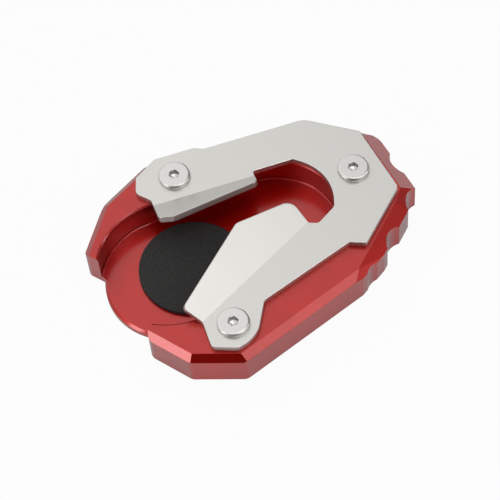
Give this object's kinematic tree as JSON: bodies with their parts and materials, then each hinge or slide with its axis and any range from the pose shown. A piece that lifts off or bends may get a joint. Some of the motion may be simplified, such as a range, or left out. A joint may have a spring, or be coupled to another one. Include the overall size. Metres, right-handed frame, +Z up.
{
  "type": "kickstand pad",
  "caption": "Side-stand pad: a milled red plate with an open pocket for the stand's foot, held by a folded sheet clamp with upturned flaps and low socket screws.",
  "frame": {"origin": "on the ground face, under the middle of the whole part", "axes": "+X along the length towards the notched toe, +Y towards the straight far side, +Z up"},
  "size_m": [0.1042, 0.0786, 0.0202],
  "materials": {
    "red_anodised": "satin red anodised",
    "brushed_sheet": "fine blasted stainless",
    "black_foam": "matte fine-grained",
    "screw_steel": "satin stainless"
  },
  "bodies": {
    "root": {"base_plate": "red_anodised", "clamp_plate": "brushed_sheet", "foam_disc": "black_foam", "clamp_screws": "screw_steel"}
  },
  "joints": []
}
